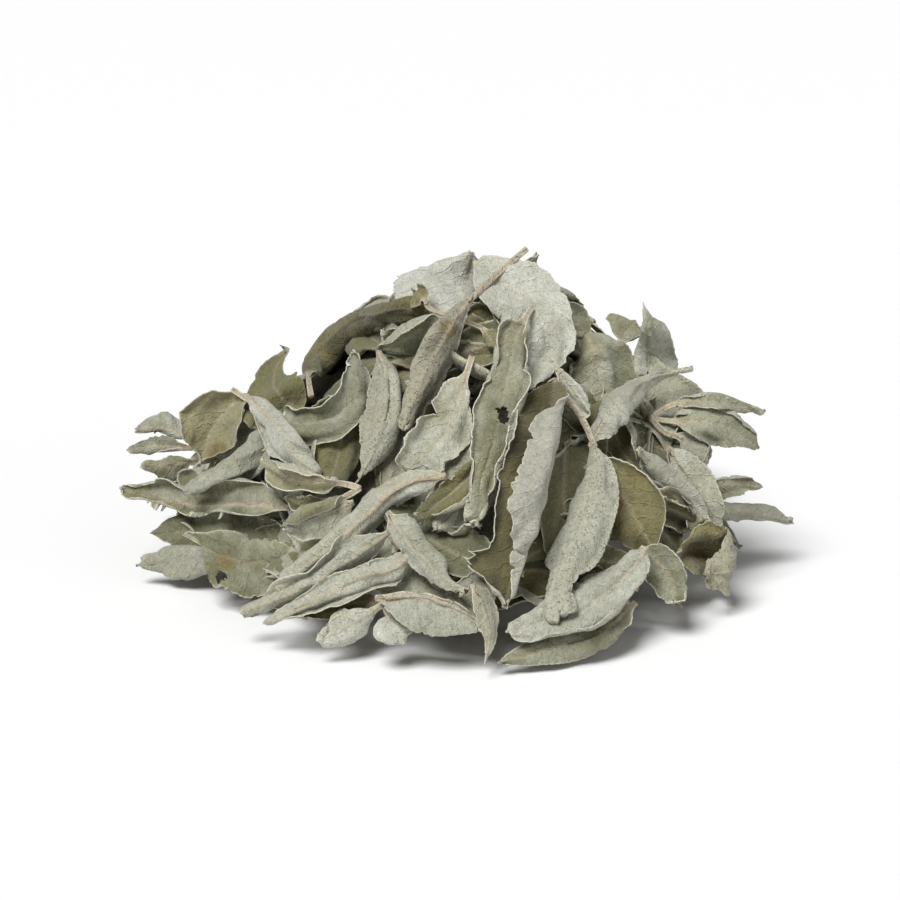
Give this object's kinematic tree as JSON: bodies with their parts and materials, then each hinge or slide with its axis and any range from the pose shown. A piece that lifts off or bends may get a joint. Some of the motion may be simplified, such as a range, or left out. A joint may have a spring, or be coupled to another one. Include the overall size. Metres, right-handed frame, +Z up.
{
  "type": "sage bunch",
  "caption": "Loose heap of dried white sage leaves: curled, rolled and folded lance-shaped blades piled in a low mound that rests on its lowest leaves.",
  "frame": {"origin": "on the surface that the heap lies on, under the middle of its bounding box", "axes": "+X along the heap's longest extent, to the right as the picture shows it; +Y towards its back; +Z up"},
  "size_m": [0.2222, 0.1814, 0.1099],
  "materials": {
    "pale": "dry felted leaf, pale silvery grey-green",
    "grey": "dry felted leaf, grey-green",
    "sage": "dry felted leaf, sage green",
    "ochre": "dry felted leaf, yellowish ochre",
    "olive": "dry leaf, dark olive, the felt worn thin",
    "brown": "dry leaf and stalk, brown"
  },
  "bodies": {
    "root": {"sprig_floor": "sage", "sprig_inner": "sage", "sprig_left_foot": "sage", "sprig_right_foot": "sage", "sprig_back_foot": "sage", "sprig_back_foot_left": "sage", "sprig_back_foot_right": "sage", "sprig_back_left": "sage", "sprig_back_right": "sage", "sprig_back": "sage", "sprig_crown": "sage", "leaf_back_round": "pale", "leaf_back_left": "sage", "sprig_right_back": "grey", "leaf_right_tall": "pale", "leaf_creamy_broad": "pale", "sprig_right_upper": "sage", "sprig_right_low": "sage", "sprig_far_left": "grey", "leaf_ochre_fold": "ochre", "leaf_under_swirl": "sage", "sprig_left_low": "grey", "leaf_trough_left": "sage", "leaf_diagonal_rolled": "grey", "leaf_arched": "olive", "leaf_swirl": "grey", "leaf_swirl_roll": "grey", "leaf_big_pale": "pale", "sprig_short_stalk": "sage", "leaf_left_wing": "pale", "leaf_speckled": "sage", "leaf_long_stalk": "brown", "sprig_yellow_edge": "sage", "leaf_notched": "pale", "leaf_two_lobed": "sage", "leaf_hole": "sage", "leaf_pale_under": "pale", "leaf_dark_brown": "sage", "leaf_long_midrib": "pale", "leaf_cream_edge": "olive", "leaf_tube_left": "grey", "leaf_tube_low": "grey", "sprig_front_left": "pale", "leaf_front_midrib": "grey", "leaf_flat_felt": "grey", "leaf_tall_rolled": "sage", "leaf_wavy_trough": "sage", "leaf_diagonal_right": "grey", "leaf_broad_light": "pale", "leaf_smooth_tube": "pale", "sprig_small_right": "olive", "leaf_olive_mottled": "ochre", "leaf_brown_cup": "brown", "leaf_right_foot": "sage", "leaf_bottom_crenulate": "sage", "leaf_bottom_lying": "grey", "leaf_edge_on": "pale", "leaf_brown_stalk": "sage", "leaf_main_centre": "olive", "leaf_pointed_tip": "sage"}
  },
  "joints": []
}
